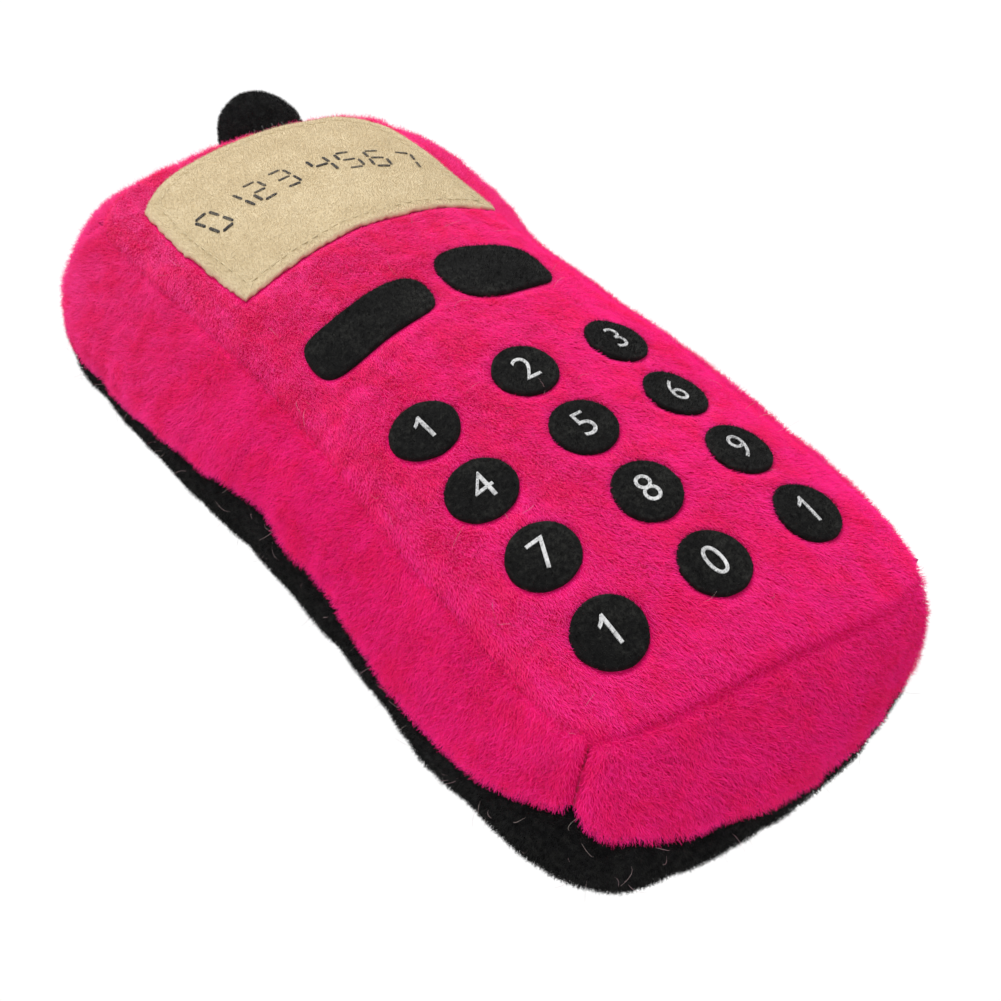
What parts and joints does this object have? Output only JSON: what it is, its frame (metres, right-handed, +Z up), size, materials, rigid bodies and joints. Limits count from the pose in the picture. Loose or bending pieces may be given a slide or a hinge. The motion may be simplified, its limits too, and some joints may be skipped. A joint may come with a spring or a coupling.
{
  "type": "plush squeaky toy phone",
  "caption": "Stuffed plush toy in the shape of an early mobile phone, with felt keys, a cream screen patch, a bendable stub antenna and a squeaker inside.",
  "frame": {"origin": "on the flat rest plane under the back panel, midway between the outer key columns and near mid-length", "axes": "+Y runs from the keypad end to the antenna end, +X to the right seen from the front, +Z up out of the keys"},
  "size_m": [0.0992, 0.1983, 0.0401],
  "materials": {
    "pink_plush": "matte",
    "black_plush": "matte",
    "cream_velour": "matte",
    "cream_thread": "satin",
    "black_felt": "matte",
    "pink_thread": "satin",
    "black_thread": "satin",
    "fibre_fill": "matte",
    "squeaker_vinyl": "satin",
    "squeaker_plug_plastic": "satin",
    "reed_film": "gloss"
  },
  "bodies": {
    "body": {"back_panel": "black_plush", "left_side_gusset": "pink_plush", "right_side_gusset": "pink_plush", "top_end_gusset": "pink_plush", "bottom_end_gusset": "pink_plush", "stuffing_under_squeaker": "fibre_fill", "stuffing_over_squeaker": "fibre_fill", "back_seam_thread": "black_thread", "corner_seam_threads": "pink_thread"},
    "front_face": {"front_panel": "pink_plush", "screen_patch": "cream_velour", "screen_stitching": "cream_thread", "soft_key_left": "black_felt", "soft_key_right": "black_felt", "key_1": "black_felt", "key_2": "black_felt", "key_3": "black_felt", "key_4": "black_felt", "key_5": "black_felt", "key_6": "black_felt", "key_7": "black_felt", "key_8": "black_felt", "key_9": "black_felt", "key_bottom_left": "black_felt", "key_0": "black_felt", "key_bottom_right": "black_felt", "front_seam_thread": "pink_thread"},
    "squeaker": {"squeaker_bulb": "squeaker_vinyl", "squeaker_plug": "squeaker_plug_plastic"},
    "reed": {"squeaker_reed": "reed_film"},
    "antenna_root": {"antenna_base_stitching": "black_thread"},
    "antenna": {"antenna_cover": "black_plush", "antenna_stuffing": "fibre_fill"}
  },
  "joints": [
    {"name": "front_press", "type": "slide", "parent": "body", "child": "front_face", "axis": [0, 0, -1], "range_m": [0, 0.009], "stiffness_N_per_m": 600, "deforming": ["left_side_gusset", "right_side_gusset", "top_end_gusset", "bottom_end_gusset", "stuffing_under_squeaker", "stuffing_over_squeaker", "corner_seam_threads", "squeaker_bulb"]},
    {"name": "squeaker_drop", "type": "slide", "parent": "body", "child": "squeaker", "axis": [0, 0, -1], "range_m": [0, 0.0045]},
    {"name": "antenna_drop", "type": "slide", "parent": "body", "child": "antenna_root", "axis": [0, 0, -1], "range_m": [0, 0.0045]},
    {"name": "antenna_bend", "type": "hinge", "parent": "antenna_root", "child": "antenna", "pos_m": [0.0118, 0.0985, 0.023], "axis": [1, 0, 0], "range_deg": [-20, 25], "stiffness_Nm_per_rad": 0.02, "deforming": ["antenna_cover"]},
    {"name": "reed_flutter", "type": "hinge", "parent": "squeaker", "child": "reed", "pos_m": [0, -0.01465, 0.0195], "axis": [1, 0, 0], "range_deg": [-4, 8]}
  ],
  "couplings": [
    {"joint": "squeaker_drop", "follows": "front_press", "ratio": 0.5},
    {"joint": "antenna_drop", "follows": "front_press", "ratio": 0.5}
  ]
}
